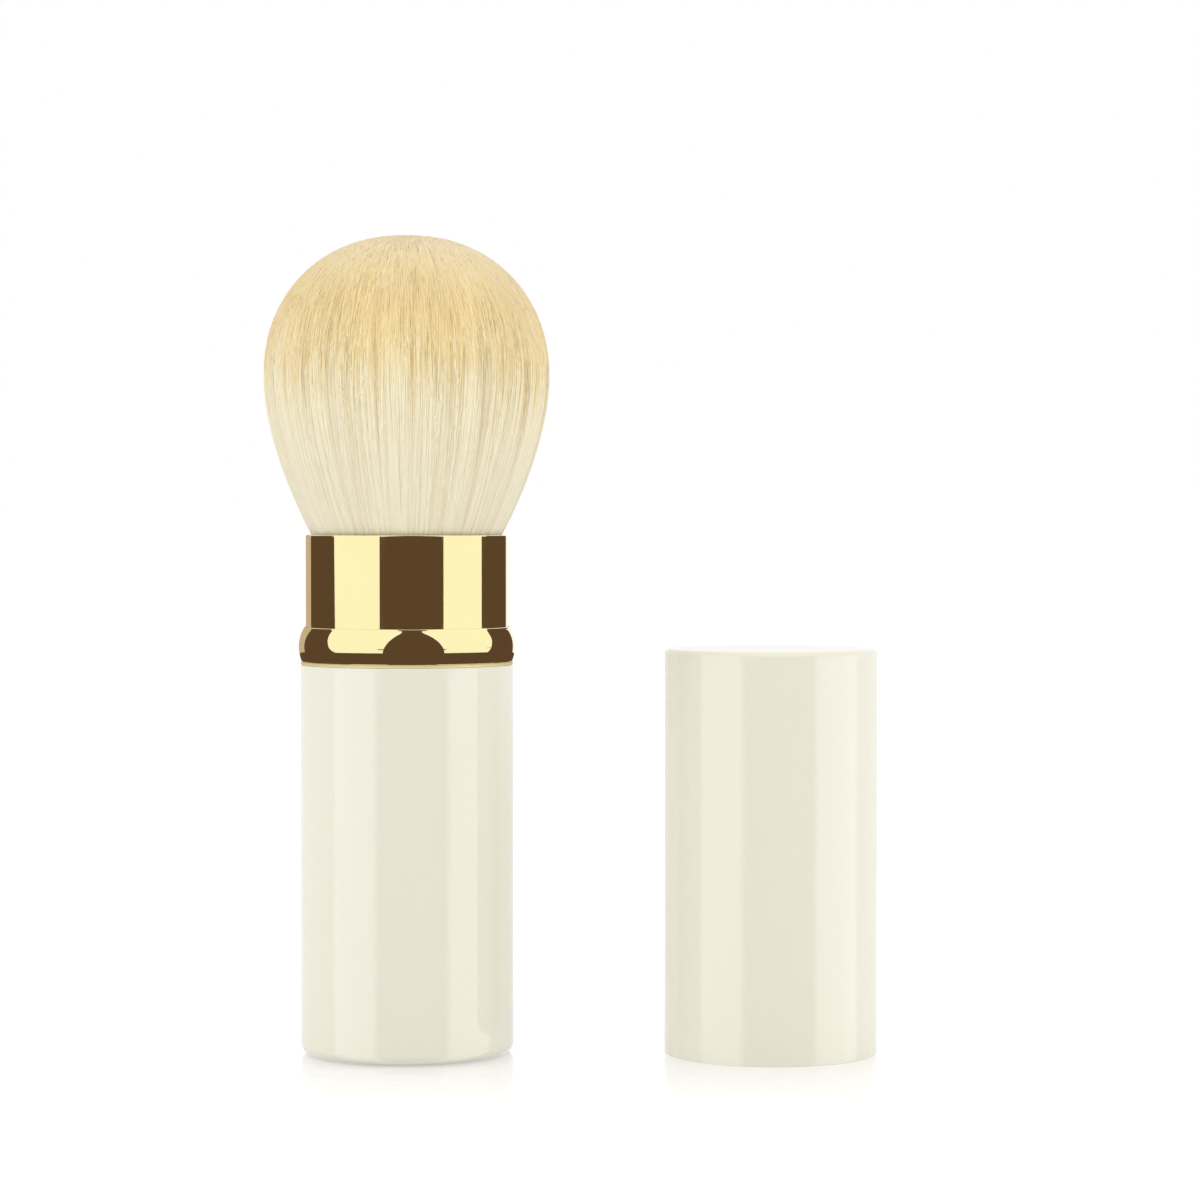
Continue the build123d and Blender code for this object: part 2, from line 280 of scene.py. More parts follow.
for row in frame["record"]["subparts"]:
    node = frame["nodes"][row["node"]]
    node.data.materials.clear()
    node.data.materials.append(FINISHES[row["material_slot"]])


# Turned shells

def arc(x, z, radius, start, end, steps=ARC_STEPS):
    """Points on an arc, from one angle to the other in degrees."""
    angles = [radians(a) for a in np.linspace(start, end, steps)]
    return [(x + radius * cos(a), z + radius * sin(a)) for a in angles]


def lathe(name, profile, centre, finish, body, *nodes):
    """A closed profile turned about the vertical line through centre."""
    points = [p for i, p in enumerate(profile) if i == 0 or p != profile[i - 1]]
    closed = points[0][0] > 0 and points[-1][0] > 0
    verts, rings = [], []
    for r, z in points:
        if r <= 0:
            rings.append([len(verts)])
            verts.append((centre.x, centre.y, z))
            continue
        rings.append(list(range(len(verts), len(verts) + LATHE_STEPS)))
        for k in range(LATHE_STEPS):
            a = 2 * pi * k / LATHE_STEPS
            verts.append((centre.x + r * cos(a), centre.y + r * sin(a), z))
    faces = []
    pairs = list(zip(rings, rings[1:] + rings[:1]))
    for lower, upper in pairs if closed else pairs[:-1]:
        for k in range(LATHE_STEPS):
            m = (k + 1) % LATHE_STEPS
            if len(lower) == 1:
                faces.append((lower[0], upper[m], upper[k]))
            elif len(upper) == 1:
                faces.append((lower[k], lower[m], upper[0]))
            else:
                faces.append((lower[k], lower[m], upper[m], upper[k]))
    mesh = bpy.data.meshes.new(name)
    mesh.from_pydata(verts, [], faces)
    turned = bmesh.new()
    turned.from_mesh(mesh)
    bmesh.ops.recalc_face_normals(turned, faces=turned.faces)
    turned.to_mesh(mesh)
    turned.free()
    mesh.polygons.foreach_set("use_smooth", [True] * len(faces))
    mesh.set_sharp_from_angle(angle=radians(SHARP_ANGLE))
    mesh.materials.append(FINISHES[finish])
    piece = bpy.data.objects.new(name, mesh)
    bpy.context.scene.collection.objects.link(piece)
    # Weighted by area, a long straight wall keeps its own direction up to the small rounds at its ends
    weighted = piece.modifiers.new("weighted_normals", "WEIGHTED_NORMAL")
    weighted.mode = "FACE_AREA"
    weighted.keep_sharp = True
    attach(piece, body)
    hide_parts(*nodes)
    return piece


centre, outer, bottom, top = size_of("base_shell")
floor_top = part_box("core_post")[0].z
bore = outer - SHELL_WALL
inner_edge = BASE_EDGE - SHELL_WALL
lathe("handle_shell", [
    (0, bottom),
    *arc(outer - BASE_EDGE, bottom + BASE_EDGE, BASE_EDGE, -90, 0),
    *arc(outer - SHARP_EDGE, top - SHARP_EDGE, SHARP_EDGE, 0, 90, SHARP_STEPS),
    (bore, top),
    *arc(bore - inner_edge, floor_top + inner_edge, inner_edge, 0, -90),
    (0, floor_top),
], centre, "lacquer", "handle", "base_shell")

centre, outer, bottom, top = size_of("cap_shell")
bore = outer - SHELL_WALL
inner_edge = CAP_EDGE - SHELL_WALL
ceiling = top - SHELL_WALL
lathe("cap_outside", [
    (0, top),
    *arc(outer - CAP_EDGE, top - CAP_EDGE, CAP_EDGE, 90, 0),
    *arc(outer - SHARP_EDGE, bottom + SHARP_EDGE, SHARP_EDGE, 0, -90, SHARP_STEPS),
    (bore + SHARP_EDGE, bottom),
    (bore, bottom + SHARP_EDGE),
    *arc(bore - inner_edge, ceiling - inner_edge, inner_edge, 0, 90),
    (0, ceiling),
], centre, "lacquer", "cap", "cap_shell")

centre, sleeve_outer, bottom, top = size_of("sleeve_tube")
sleeve_bore = sleeve_outer - SLEEVE_WALL
mouth = top
lathe("gold_sleeve", [
    (sleeve_outer, bottom),
    *arc(sleeve_outer - RIM_EDGE, top - RIM_EDGE, RIM_EDGE, 0, 90),
    *arc(sleeve_bore + RIM_EDGE, top - RIM_EDGE, RIM_EDGE, 90, 180),
    (sleeve_bore, bottom),
], centre, "gold", "sleeve", "sleeve_tube")


def arc_through(a, b, c, steps):
    """Points on the circle through three points, from the first point to the last."""
    (ax, az), (bx, bz), (cx, cz) = a, b, c
    d = 2 * (ax * (bz - cz) + bx * (cz - az) + cx * (az - bz))
    a2, b2, c2 = ax**2 + az**2, bx**2 + bz**2, cx**2 + cz**2
    x = (a2 * (bz - cz) + b2 * (cz - az) + c2 * (az - bz)) / d
    z = (a2 * (cx - bx) + b2 * (ax - cx) + c2 * (bx - ax)) / d
    start, end = (degrees(atan2(p[1] - z, p[0] - x)) for p in (a, c))
    return arc(x, z, sqrt((ax - x) ** 2 + (az - z) ** 2), start, end, steps)


centre, ring_outer, ring_bottom, ring_top = size_of("collar_ring")
shell_outer = size_of("base_shell")[1]
ring_bore = sleeve_outer + SLEEVE_CLEARANCE
upstand_outer = size_of("collar_wiper")[1] + UPSTAND_CLEARANCE
wiper_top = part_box("collar_wiper")[1].z
lathe("gold_ring", [
    *arc_through((shell_outer - RING_FOOT_INSET, ring_bottom),
                 (ring_outer, ring_bottom + (ring_top - ring_bottom) * RING_BELLY_SHARE),
                 (shell_outer - RING_TOP_INSET, ring_top - RING_TOP_EDGE), RING_STEPS),
    *arc(shell_outer - RING_TOP_INSET - RING_TOP_EDGE, ring_top - RING_TOP_EDGE, RING_TOP_EDGE,
         RING_TOP_START, 90),
    (ring_bore, ring_top),
    (ring_bore, wiper_top),
    (upstand_outer, wiper_top),
    (upstand_outer, ring_bottom),
], centre, "gold", "handle", "collar_ring")

centre, lip_outer, skirt_bottom, upstand_top = size_of("collar_insert")
lip_top = ring_bottom
lip_bottom = size_of("base_shell")[3]
skirt_outer = size_of("guide_liner")[1]
upstand = upstand_outer - UPSTAND_CLEARANCE
insert = lathe("gold_insert", [
    (ring_bore, skirt_bottom),
    (skirt_outer, skirt_bottom),
    (skirt_outer, lip_bottom),
    *arc(lip_outer - LIP_EDGE, lip_bottom + LIP_EDGE, LIP_EDGE, -90, 0),
    *arc(lip_outer - LIP_EDGE, lip_top - LIP_EDGE, LIP_EDGE, 0, 90),
    (upstand, lip_top),
    (upstand, upstand_top),
    (ring_bore, upstand_top),
], centre, "gold", "handle", "collar_insert")
insert.data.materials[0] = SATIN_GOLD


# Hair: fine strands that fan out of the sleeve's mouth, in sectors

HAIR_NODES = ("bristles_centre", "bristles_inner", "bristles_middle", "bristles_outer")
SECTORS = 24
SEED = 11

# Side strands run from the root to the tip. Dome strands are only the ends that show in the dome
SIDE_STRANDS = 16000
SIDE_LEVELS = 12
SIDE_FROM_SHARE = 0.984
DOME_STRANDS = 40000
DOME_LEVELS = 6
DOME_DEPTH = 7.0 * MM
STRAND_SIDES = 4

# The outline: a flare up to the belly, a small swell over the sleeve's rim, and a dome
BELLY = 21.45 * MM
BELLY_RISE = 23.5 * MM
ROOT_RADIUS = 13.5 * MM
FLARE_POWER = 1.7
DOME_POWER = 2.15
RIM_SWELL = 0.35 * MM
RIM_SWELL_RISE = 0.9 * MM
RIM_SWELL_SPREAD = 0.7 * MM
RIM_SWELL_POWER = 4

# A strand's thickness, how far its tip may pass the dome or fall short of it, and how it bends
STRAND_RADIUS = 0.08 * MM
TIP_RADIUS = 0.045 * MM
TIP_TAPER = 6.0 * MM
TAPER_POWER = 1.5
OVERLENGTH = 4.5 * MM
OVERLENGTH_LIMIT = 2.5
OVERLENGTH_POWER = 3
SHORT_LEAST = 0.04 * MM
SHORT_SPREAD = 0.08 * MM
SHORT_OF_LOCK = 0.03 * MM
LAYER_DEPTH = 0.2 * MM
LEVEL_POWER = 1.6
LEAN = radians(2.2)
WAVE = 0.05 * MM
WAVE_TURNS = 1.0
WAVE_TURNS_SPREAD = 1.5

# Strands near each other make a wisp, and more of them a lock. A strand takes part of its tone, which
# moves the colours up or down it, and of its shade from both
LOCKS = 1700
WISPS = 14000
LOCK_PULL_SHARE = 0.05
TONE_OF_LOCK = 0.9
TONE_OF_WISP = 2.4
TONE_OF_STRAND = 1.4
TONE_ACROSS = 1.6
SHADE_MIDDLE = 0.24
SHADE_OF_LOCK = 0.04
SHADE_OF_WISP = 0.22
SHADE_OF_STRAND = 0.18

# The core fills the form just under the strands
CORE_SHARE = 0.987
CORE_DROP = 0.25 * MM
CORE_ROWS = 14
CORE_STEPS = 4
CORE_SHADE = 0.15

# How much a strand's face looks the way of the whole form, at the belly and at the top of the dome
FORM_NORMAL_SHARE = 0.2
FORM_NORMAL_TOP_SHARE = 0.5
SLOPE_STEP = 0.1 * MM

# The smallest radii that directions are worked out for, so that none is divided by zero on the axis
FORM_LEAST_RADIUS = 0.1 * MM
STRAND_LEAST_RADIUS = 1e-6 * MM

rng = np.random.default_rng(SEED)
root_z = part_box("ferrule_cup")[1].z
hair_top = max(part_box(n)[1].z for n in HAIR_NODES)
belly_z = mouth + BELLY_RISE
dome_height = hair_top - belly_z


def hair_outline(z, share=1.0):
    """The hair's outer radius at a height, for strands at a share of the way out."""
    u = np.clip((z - root_z) / (belly_z - root_z), 0, 1)
    flare = ROOT_RADIUS + (BELLY - ROOT_RADIUS) * (1 - (1 - u) ** FLARE_POWER)
    swell = RIM_SWELL * np.exp(-(((z - mouth - RIM_SWELL_RISE) / RIM_SWELL_SPREAD) ** 2))
    return flare + swell * share**RIM_SWELL_POWER


def dome(share):
    """The height of the dome at a share of the way out."""
    return belly_z + dome_height * (1 - share**DOME_POWER) ** (1 / DOME_POWER)


def hair_limit(z):
    """The radius that no strand passes: the outline below the belly, and the dome above it."""
    v = np.clip((z - belly_z) / dome_height, 0, 1)
    return hair_outline(z) * (1 - v**DOME_POWER) ** (1 / DOME_POWER)


def form_normal(xyz):
    """The direction in which the hair's whole form faces at a point."""
    x, y, z = xyz.T
    radius = np.maximum(np.hypot(x, y), FORM_LEAST_RADIUS)
    slope = (hair_outline(z + SLOPE_STEP, 0) - hair_outline(z - SLOPE_STEP, 0)) / (2 * SLOPE_STEP)
    above = np.clip((z - belly_z) / dome_height, 0, 1)
    out = np.minimum(radius / BELLY, 1) ** (DOME_POWER - 1) / BELLY
    up = above ** (DOME_POWER - 1) / dome_height
    rise = np.where(above > 0, up / out, -slope)
    facing = np.stack([x / radius, y / radius, rise], -1)
    return facing / np.linalg.norm(facing, axis=1, keepdims=True)


def scattered(count):
    """Points spread evenly at random over a disc of radius 1, and three random values for each."""
    share, angle = np.sqrt(rng.random(count)), rng.random(count) * 2 * pi
    return share * np.cos(angle), share * np.sin(angle), rng.normal(size=(3, count))


def nearest(x, y, to_x, to_y):
    """For each point, which of the others is nearest to it."""
    tree = KDTree(len(to_x))
    for i, (a, b) in enumerate(zip(to_x, to_y)):
        tree.insert((a, b, 0), i)
    tree.balance()
    return np.array([tree.find((a, b, 0))[1] for a, b in zip(x, y)])


lock_x, lock_y, (lock_tone, lock_length, lock_shade) = scattered(LOCKS)
wisp_x, wisp_y, (wisp_tone, wisp_length, wisp_shade) = scattered(WISPS)


def strands(count, lowest_share, highest_share, levels, depth):
    """Strands as paths, widths, angles, tones and shades, from one share of the way out to another.

    A depth starts them that far under the dome, and no depth at the root."""
    share = np.sqrt(lowest_share**2 + (highest_share**2 - lowest_share**2) * rng.random(count))
    angle = rng.random(count) * 2 * pi
    x, y = share * np.cos(angle), share * np.sin(angle)
    lock = nearest(x, y, lock_x, lock_y)
    wisp = nearest(x, y, wisp_x, wisp_y)
    extra = (1 - np.exp(-rng.exponential(size=count) / OVERLENGTH_LIMIT)) * OVERLENGTH_LIMIT
    extra *= OVERLENGTH * share**OVERLENGTH_POWER
    short = SHORT_LEAST + SHORT_SPREAD * np.abs(rng.normal(size=count))
    short += SHORT_OF_LOCK * np.clip(lock_length[lock], -1, 1)
    tip = np.minimum(dome(share) + extra, hair_top) - short
    base = np.maximum(dome(share) - depth, root_z) if depth else np.full(count, root_z)
    t = 1 - (1 - np.linspace(0, 1, levels)) ** LEVEL_POWER
    z = base[:, None] + (tip - base)[:, None] * t
    rise = (z - root_z) / (hair_top - root_z)
    pull = LOCK_PULL_SHARE * rise**2
    qx = x[:, None] * (1 - pull) + lock_x[lock][:, None] * pull
    qy = y[:, None] * (1 - pull) + lock_y[lock][:, None] * pull
    lean = LEAN * (rng.normal(size=count) + wisp_length[wisp])[:, None] * rise
    px = qx * np.cos(lean) - qy * np.sin(lean)
    py = qx * np.sin(lean) + qy * np.cos(lean)
    reach = hair_outline(z, share[:, None])
    phase = rng.random((count, 2)) * 2 * pi
    turns = WAVE_TURNS + WAVE_TURNS_SPREAD * rng.random(count)[:, None]
    px = px * reach + WAVE * rise * np.sin(turns * rise * 2 * pi + phase[:, :1])
    py = py * reach + WAVE * rise * np.cos(turns * rise * 2 * pi + phase[:, 1:])
    taper = np.clip(1 - (tip[:, None] - z) / TIP_TAPER, 0, 1)
    width = STRAND_RADIUS + (TIP_RADIUS - STRAND_RADIUS) * taper**TAPER_POWER
    layer = LAYER_DEPTH * rng.random(count)[:, None]
    inside = np.minimum(1, (hair_limit(z) - layer) / np.maximum(np.hypot(px, py), STRAND_LEAST_RADIUS))
    tone = TONE_OF_LOCK * lock_tone[lock] + TONE_OF_WISP * wisp_tone[wisp]
    tone += TONE_OF_STRAND * rng.normal(size=count) + TONE_ACROSS * x
    shade = SHADE_MIDDLE + SHADE_OF_LOCK * lock_shade[lock] + SHADE_OF_WISP * wisp_shade[wisp]
    shade = np.clip(shade + SHADE_OF_STRAND * rng.normal(size=count), 0, 1)
    return np.stack([px * inside, py * inside, z], -1), width, angle, tone, shade


def tubes(paths, width, angle):
    """Closed tubes along paths, with one face outwards.

    It gives the corners, the side faces, the end faces, and the way that each face's corners look. A side
    looks mostly its own way and partly the form's way. An end looks along the strand and the form's way."""
    count, levels = width.shape
    along = np.gradient(paths, axis=1)
    along /= np.linalg.norm(along, axis=2, keepdims=True)
    out = np.stack([np.cos(angle), np.sin(angle), 0 * angle], -1)[:, None]
    out = out - (out * along).sum(2, keepdims=True) * along
    out /= np.linalg.norm(out, axis=2, keepdims=True)
    turn = ((np.arange(STRAND_SIDES) + 0.5) * 2 * pi / STRAND_SIDES)[:, None]
    ring = np.cos(turn) * out[:, :, None] + np.sin(turn) * np.cross(along, out)[:, :, None]
    verts = (paths[:, :, None] + width[:, :, None, None] * ring).reshape(-1, 3)
    number = np.arange(count * levels * STRAND_SIDES).reshape(count, levels, STRAND_SIDES)
    after = np.roll(number, -1, 2)
    sides = np.stack([number[:, :-1], after[:, :-1], after[:, 1:], number[:, 1:]], -1).reshape(-1, 4)
    ends = np.concatenate([number[:, 0, ::-1], number[:, -1]])
    form = form_normal(verts)
    above = np.clip((verts[:, 2:] - belly_z) / dome_height, 0, 1)
    form_share = FORM_NORMAL_SHARE + (FORM_NORMAL_TOP_SHARE - FORM_NORMAL_SHARE) * above
    side_looks = form * form_share + ring.reshape(-1, 3) * (1 - form_share)
    end_looks = form + np.repeat(along, STRAND_SIDES, axis=1).reshape(-1, 3)
    looks = np.concatenate([side_looks[sides.ravel()], end_looks[ends.ravel()]])
    return verts, sides, ends, looks


def core_wedge(index):
    """The closed wedge of one sector that its strands stand in."""
    heights = np.linspace(root_z, belly_z, CORE_ROWS)
    profile = [(float(hair_outline(z, 0)) * CORE_SHARE, float(z)) for z in heights]
    for share in np.sin(np.linspace(pi / 2, 0, CORE_ROWS))[1:-1] * CORE_SHARE:
        profile.append((float(share * BELLY), float(dome(share) - CORE_DROP)))
    half = pi / SECTORS
    mid = (index + 0.5) * 2 * pi / SECTORS
    verts = [(0, 0, root_z), (0, 0, float(dome(0.0) - CORE_DROP))]
    rows = []
    for r, z in profile:
        rows.append(range(len(verts), len(verts) + CORE_STEPS + 1))
        for k in range(CORE_STEPS + 1):
            a = mid - half + 2 * half * k / CORE_STEPS
            verts.append((r * cos(a), r * sin(a), z))
    faces = []
    for low, high in zip(rows, rows[1:]):
        faces += [(low[k], low[k + 1], high[k + 1], high[k]) for k in range(CORE_STEPS)]
    for k in range(CORE_STEPS):
        faces.append((0, rows[0][k + 1], rows[0][k]))
        faces.append((1, rows[-1][k], rows[-1][k + 1]))
    faces.append((0, *[row[0] for row in rows], 1))
    faces.append((1, *[row[CORE_STEPS] for row in reversed(rows)], 0))
    return np.array(verts), faces


def hair_sector(index, groups):
    """One sector of hair: its strands and the core that they stand in."""
    verts, looks, faces, tones, shades = [], [], [], [], []
    start = 0
    for paths, width, angle, tone, shade in groups:
        corners, sides, ends, facing = tubes(paths, width, angle)
        verts.append(corners)
        looks.append(facing)
        faces += [sides + start, ends + start]
        tones.append(np.repeat(tone, width.shape[1] * STRAND_SIDES))
        shades.append(np.repeat(shade, width.shape[1] * STRAND_SIDES))
        start += len(corners)
    core_verts, core_faces = core_wedge(index)
    verts.append(core_verts)
    looks.append(form_normal(core_verts)[np.concatenate(core_faces)])
    tones.append(np.zeros(len(core_verts)))
    shades.append(np.full(len(core_verts), CORE_SHADE))
    verts = np.concatenate(verts)
    loops = np.concatenate([f.ravel() for f in faces] + [np.array(f) + start for f in core_faces])
    sizes = np.concatenate([np.full(len(f), f.shape[1]) for f in faces] + [[len(f)] for f in core_faces])
    mesh = bpy.data.meshes.new(f"hair_{index:02d}")
    mesh.vertices.add(len(verts))
    mesh.vertices.foreach_set("co", verts.ravel())
    mesh.loops.add(len(loops))
    mesh.loops.foreach_set("vertex_index", loops)
    mesh.polygons.add(len(sizes))
    mesh.polygons.foreach_set("loop_start", np.concatenate([[0], np.cumsum(sizes)[:-1]]))
    mesh.polygons.foreach_set("use_smooth", np.ones(len(sizes), bool))
    mesh.update(calc_edges=True)
    for name, values in (("tone", tones), ("shade", shades)):
        mesh.attributes.new(name, "FLOAT", "POINT").data.foreach_set("value", np.concatenate(values))
    looks = np.concatenate(looks)
    looks /= np.linalg.norm(looks, axis=1, keepdims=True)
    mesh.normals_split_custom_set(looks.tolist())
    mesh.materials.append(FINISHES["hair"])
    piece = bpy.data.objects.new(mesh.name, mesh)
    bpy.context.scene.collection.objects.link(piece)
    return piece


# The side is drawn before the dome, since both take their random values from the same row of them
layers = [strands(SIDE_STRANDS, SIDE_FROM_SHARE, 1.0, SIDE_LEVELS, 0.0),
          strands(DOME_STRANDS, 0.0, SIDE_FROM_SHARE, DOME_LEVELS, DOME_DEPTH)]
for index in range(SECTORS):
    groups = []
    for paths, width, angle, tone, shade in layers:
        mine = (angle / (2 * pi) * SECTORS).astype(int) % SECTORS == index
        groups.append((paths[mine], width[mine], angle[mine], tone[mine], shade[mine]))
    piece = hair_sector(index, groups)
    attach(piece, "handle")
    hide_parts(*HAIR_NODES)
    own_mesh(piece)


# Camera, at the photograph's view of the open brush

focal_px = LENS_MM / SENSOR_MM * PHOTO_SIZE_PX
distance = focal_px / PX_PER_MM * MM
centre_px = PHOTO_SIZE_PX / 2
camera_data = bpy.data.cameras.new("camera")
camera_data.lens = LENS_MM
camera_data.sensor_width = SENSOR_MM
camera = bpy.data.objects.new("camera", camera_data)
camera.location = ((centre_px - AXIS_X_PX) / PX_PER_MM * MM, -distance,
                   (BASE_Y_PX - HORIZON_Y_PX) / PX_PER_MM * MM)
camera.rotation_euler = (pi / 2 - atan((centre_px - HORIZON_Y_PX) / focal_px), 0, 0)
bpy.context.scene.collection.objects.link(camera)
bpy.context.scene.camera = camera


# Floor, world, lamps, and the cards that the gold and the lacquer reflect

WHITE = (1.0, 1.0, 1.0, 1.0)
WORLD_TINT = (1.0, 0.995, 0.985, 1.0)
WORLD_LEVEL = 0.89

FLOOR_REACH = 40.0
FLOOR_LIT = (0.9, 0.9, 0.9, 1.0)
FLOOR_WHITE = 1.12
FLOOR_SHADOW_SHARE = 0.25
MIRROR_SHARE = 0.55
MIRROR_REACH = 45.0 * MM

# Each lamp's name, its place and width in metres, and its power in watts
LAMP_TARGET = (0.02, 0.0, 0.07)
LAMPS = (
    ("key", (-0.90, -0.42, 0.95), 0.6, 3.4),
    ("fill", (0.98, -0.35, 0.62), 0.7, 2.5),
    ("back", (0.1, 0.95, 0.6), 0.8, 1.6),
)

# The gold's cards stand on a sphere about the ring's middle. Their outlines are azimuths from the front and
# elevations, in degrees. The mound is one half of the front card, from its middle
CARD_DISTANCE = 2.0
CARD_LOWEST = -65
CARD_ROWS = 16
CARD_BROWN = (0.102, 0.060, 0.042, 1.0)
CARD_TAN = (0.56, 0.45, 0.36, 1.0)
MOUND_MIDDLE = 10.2
MOUND = [(32.9, -12), (32.6, -6), (31.9, -1.4), (30.8, 6), (29.3, 13.5), (27.6, 21.5), (25.4, 29), (22.9, 36),
         (20, 42.3), (17.2, 47), (15.2, 51), (14.8, 58), (14, 61.5), (0, 63.5)]
LEFT_CARD = [(-138, 19), (-133, 22.8), (-127, 27), (-121, 30.6), (-115.5, 33.8), (-110, 36.7), (-105.5, 38.5),
             (-104.5, 37.5), (-99.1, 28.8), (-93.5, 16.8), (-90.3, 8.8), (-87.5, 0.5), (-84, -5), (-79.7, -9.4),
             (-75.7, -11.5), (-72, -13)]
RIGHT_CARD = [(158, 10), (154, 13), (150, 16.5), (140, 22.5), (131.5, 27.5), (124, 32), (119.5, 35),
              (118, 33), (112.3, 25.5), (108.5, 14.1), (105.7, 6.8), (103.3, -0.8), (100.9, -5.8),
              (96.6, -12.7), (88.2, -13.6)]
STRIP_LOWEST = -1.8
STRIP_HIGHEST = 0.45

# Two small cards before the cap keep it out of the ring's reflection. They meet in a slanted line. Their
# corners are in mm along Y and Z
CAP_CARD_X = 37.0 * MM
CAP_CARD_SPLIT = [(-7.7, 53.0), (-7.7, 54.7), (-5.3, 58.3), (-4.0, 60.9), (-3.9, 61.2)]
CAP_CARD_BROWN_END = 20.0
CAP_CARD_WHITE_END = -22.0

# A dark disc around the ring's foot, which the ring's lower edge mirrors
UNDER_RADIUS = 24.3 * MM
UNDER_INSET = 0.15 * MM
UNDER_GAP = 0.05 * MM

# The lacquer's wall, as azimuths from the front in degrees and shares of the softboxes' level
WALL_RADIUS = 1.5
WALL_LOW = -3.2
WALL_HIGH = 0.07
SOFTBOX_LEVEL = 2.2
SURROUND = ((-180, 0.45), (-84, 0.45), (-80, 1.0), (-35, 0.95), (-27, 0.03), (44, 0.03), (52, 0.9), (98, 1.0),
            (106, 0.45), (180, 0.45))
BAND_STEPS = 96


def stage_object(name, verts, faces, material):
    """Something in the studio that isn't part of the brush."""
    mesh = bpy.data.meshes.new(name)
    mesh.from_pydata(verts, [], faces)
    mesh.materials.append(material)
    made = bpy.data.objects.new(name, mesh)
    bpy.context.scene.collection.objects.link(made)
    return made


def seen_or_reflected(n):
    """1 for a ray from the camera, a glossy one or one through glass, and 0 for the rest."""
    path = n.add("ShaderNodeLightPath")
    seen = n.maths("MAXIMUM", path.outputs["Is Camera Ray"], path.outputs["Is Glossy Ray"])
    return n.maths("MAXIMUM", seen, path.outputs["Is Transmission Ray"])


def floor_paint():
    """White that keeps part of the shadows, with a faint mirror near the brush and the cap."""
    n = Nodes("floor_white")
    lit = n.add("ShaderNodeBsdfDiffuse", {"Color": FLOOR_LIT}).outputs[0]
    plain = n.add("ShaderNodeEmission", {"Color": WHITE, "Strength": FLOOR_WHITE}).outputs[0]
    shadowed = n.blend(FLOOR_SHADOW_SHARE, plain, lit)
    where = n.add("ShaderNodeTexCoord").outputs["Object"]
    shares = []
    for foot in (Vector((0, 0, 0)), size_of("cap_shell")[0]):
        away = n.add("ShaderNodeVectorMath", {0: where, 1: foot}, operation="DISTANCE").outputs["Value"]
        share = n.add("ShaderNodeMapRange", {
            "Value": away, "From Min": shell_outer, "From Max": shell_outer + MIRROR_REACH,
            "To Min": MIRROR_SHARE, "To Max": 0.0,
        })
        shares.append(share.outputs["Result"])
    mirror = n.add("ShaderNodeBsdfGlossy", {"Color": WHITE, "Roughness": 0.0}).outputs[0]
    polished = n.blend(n.maths("MAXIMUM", *shares), shadowed, mirror)
    return n.finish(n.blend(seen_or_reflected(n), lit, polished))


floor_corners = [(x * FLOOR_REACH, y * FLOOR_REACH, 0) for x, y in ((-1, -1), (1, -1), (1, 1), (-1, 1))]
floor = stage_object("floor", floor_corners, [(0, 1, 2, 3)], floor_paint())
floor.visible_glossy = False


def only_reflected(card_object):
    """Leaves an object to reflections alone."""
    card_object.visible_camera = False
    card_object.visible_diffuse = False
    card_object.visible_transmission = False
    card_object.visible_shadow = False
    card_object.visible_volume_scatter = False


def card_paint(name, colour, strength, for_lacquer):
    """A card's light. The lacquer and the floor mirror it as singular rays, and the gold doesn't."""
    n = Nodes(name)
    lit = n.add("ShaderNodeEmission", {"Color": colour(n) if callable(colour) else colour,
                                       "Strength": strength}).outputs[0]
    clear = n.add("ShaderNodeBsdfTransparent").outputs[0]
    singular = n.add("ShaderNodeLightPath").outputs["Is Singular Ray"]
    first, second = (clear, lit) if for_lacquer else (lit, clear)
    return n.finish(n.blend(singular, first, second))


brown = card_paint("card_brown", CARD_BROWN, 1.0, False)
tan = card_paint("card_tan", CARD_TAN, 1.0, False)
white = card_paint("card_white", WHITE, 1.0, False)


def card(name, columns, material, lowest=CARD_LOWEST):
    """A card that the gold mirrors. Each column is an azimuth and its highest elevation."""
    eye = (ring_bottom + ring_top) / 2
    verts, faces = [], []
    for azimuth, highest in columns:
        a = radians(azimuth)
        for elevation in np.linspace(lowest, highest, CARD_ROWS):
            e = radians(float(elevation))
            verts.append((CARD_DISTANCE * sin(a) * cos(e), -CARD_DISTANCE * cos(a) * cos(e),
                          eye + CARD_DISTANCE * sin(e)))
    for k in range(len(columns) - 1):
        for j in range(CARD_ROWS - 1):
            low = CARD_ROWS * k + j
            faces.append((low, low + CARD_ROWS, low + CARD_ROWS + 1, low + 1))
    only_reflected(stage_object(name, verts, faces, material))


card("card_front", [(MOUND_MIDDLE - a, e) for a, e in MOUND]
     + [(MOUND_MIDDLE + a, e) for a, e in reversed(MOUND[:-1])], brown)
card("card_left", LEFT_CARD, brown)
card("card_right", RIGHT_CARD, brown)
card("card_far_left", [(-180, 12), (-138, 19)], tan)

# The sleeve mirrors only these strips, so its middle stripe and its right one end where they do
card("card_strip_front", [(-27.8, STRIP_HIGHEST), (44.8, STRIP_HIGHEST)], brown, STRIP_LOWEST)
card("card_strip_right", [(96.9, STRIP_HIGHEST), (104, STRIP_HIGHEST)], brown, STRIP_LOWEST)

for name, end, material in (("card_cap_brown", CAP_CARD_BROWN_END, brown),
                            ("card_cap_white", CAP_CARD_WHITE_END, white)):
    outline = [*CAP_CARD_SPLIT, (end, CAP_CARD_SPLIT[-1][1]), (end, CAP_CARD_SPLIT[0][1])]
    corners = [(CAP_CARD_X, y * MM, z * MM) for y, z in outline]
    only_reflected(stage_object(name, corners, [tuple(range(len(outline)))], material))


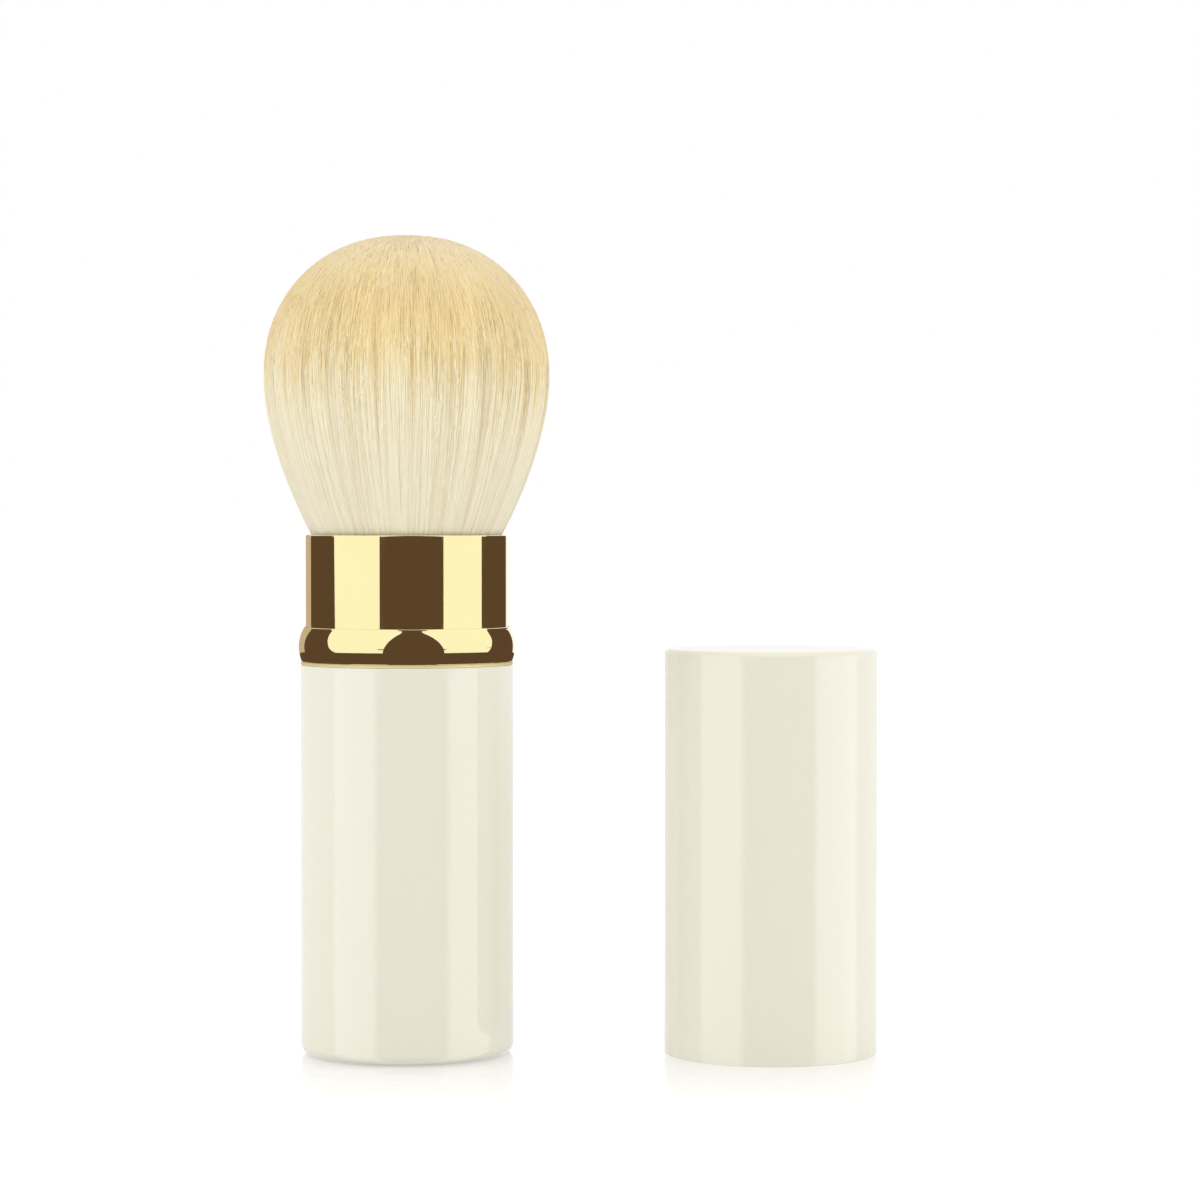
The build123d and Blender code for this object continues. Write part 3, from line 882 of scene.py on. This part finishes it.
def band(name, low, high, material):
    """A card between two circles about the brush's axis. Each circle is a radius and a height."""
    verts = [(r * cos(2 * pi * k / BAND_STEPS), r * sin(2 * pi * k / BAND_STEPS), z) for r, z in (low, high)
             for k in range(BAND_STEPS)]
    faces = [(k, (k + 1) % BAND_STEPS, BAND_STEPS + (k + 1) % BAND_STEPS, BAND_STEPS + k)
             for k in range(BAND_STEPS)]
    only_reflected(stage_object(name, verts, faces, material))


def surround(n):
    """The lacquer's surroundings by azimuth: dark in front, softboxes beside that, and white elsewhere."""
    where = n.add("ShaderNodeSeparateXYZ", {"Vector": n.add("ShaderNodeTexCoord").outputs["Object"]})
    front = n.maths("MULTIPLY", where.outputs["Y"], -1.0)
    turn = n.maths("ARCTAN2", where.outputs["X"], front)
    share = n.add("ShaderNodeMapRange", {"Value": turn, "From Min": -pi, "From Max": pi}).outputs["Result"]
    stops = [(azimuth / 360 + 0.5, (level, level, level), 1.0) for azimuth, level in SURROUND]
    return n.ramp(share, stops).outputs["Color"]


band("card_wall", (WALL_RADIUS, WALL_LOW), (WALL_RADIUS, WALL_HIGH),
     card_paint("card_wall", surround, SOFTBOX_LEVEL, True))
under = ring_bottom + UNDER_GAP
band("card_under", (shell_outer - UNDER_INSET, under), (UNDER_RADIUS, under), brown)


def lamp(name, place, width, power):
    """A round lamp that faces the brush and isn't mirrored itself."""
    data = bpy.data.lights.new(name, "AREA")
    data.shape = "DISK"
    data.size = width
    data.energy = power
    made = bpy.data.objects.new(name, data)
    made.location = place
    made.rotation_euler = (Vector(LAMP_TARGET) - Vector(place)).to_track_quat("-Z", "Y").to_euler()
    made.visible_glossy = False
    bpy.context.scene.collection.objects.link(made)


for name, place, width, power in LAMPS:
    lamp(name, place, width, power)

world = bpy.data.worlds.new("world")
bpy.context.scene.world = world
world.use_nodes = True
n = Nodes.of(world.node_tree, "ShaderNodeOutputWorld")
light = n.add("ShaderNodeBackground", {"Color": WORLD_TINT, "Strength": WORLD_LEVEL}).outputs[0]
backdrop = n.add("ShaderNodeBackground", {"Color": WHITE}).outputs[0]
n.finish(n.blend(seen_or_reflected(n), light, backdrop))

bpy.context.scene.view_settings.view_transform = "Standard"
